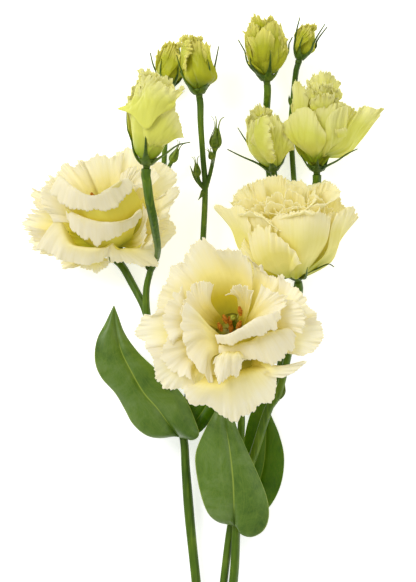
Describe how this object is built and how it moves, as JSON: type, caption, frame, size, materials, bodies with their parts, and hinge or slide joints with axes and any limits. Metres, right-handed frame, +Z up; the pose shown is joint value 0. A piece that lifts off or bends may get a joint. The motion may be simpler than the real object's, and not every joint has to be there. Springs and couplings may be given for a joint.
{
  "type": "lisianthus flower spray",
  "caption": "Cut branched lisianthus stem lying down, with open ruffled cream blooms, closed green-cream buds and grey-green leaves.",
  "frame": {"origin": "middle of the spray's breadth and length, on the surface that it lies on", "axes": "+Y along the stem from the cut end to the buds, +Z up from the surface, +X to the right of the spray seen from above"},
  "size_m": [0.1456, 0.3153, 0.0716],
  "materials": {
    "cream_petal": "soft, slightly translucent petals, deeper yellow in the throat",
    "green_petal": "soft yellow-green petals",
    "bud_petal": "soft lime green to cream bud petals",
    "green_calyx": "smooth fresh green sepals",
    "green_stem": "smooth satin green stem",
    "green_leaf": "waxy grey-green leaf with a pale midrib",
    "orange_anther": "dusty orange-brown anthers",
    "green_pistil": "smooth green ovary and stigma"
  },
  "bodies": {
    "root": {"stem": "green_stem", "leaf_left": "green_leaf", "leaf_centre": "green_leaf", "leaf_left_back": "green_leaf", "leaf_right_back": "green_leaf", "centre_petals": "cream_petal", "centre_calyx": "green_calyx", "left_petals": "cream_petal", "left_calyx": "green_calyx", "right_petals": "green_petal", "right_calyx": "green_calyx", "centre_stamens": "orange_anther", "centre_pistil": "green_pistil", "left_stamens": "orange_anther", "left_pistil": "green_pistil", "bud_front_petals": "bud_petal", "bud_front_calyx": "green_calyx", "bud_middle_petals": "bud_petal", "bud_middle_calyx": "green_calyx", "bud_back_petals": "bud_petal", "bud_back_calyx": "green_calyx", "bud_top_petals": "bud_petal", "bud_top_calyx": "green_calyx", "bud_tip_petals": "bud_petal", "bud_tip_calyx": "green_calyx", "bud_low_petals": "bud_petal", "bud_low_calyx": "green_calyx", "bud_open_petals": "bud_petal", "bud_open_calyx": "green_calyx", "side_bud_1": "green_calyx", "side_bud_2": "green_calyx", "side_bud_3": "green_calyx", "side_bud_4": "green_calyx"}
  },
  "joints": []
}
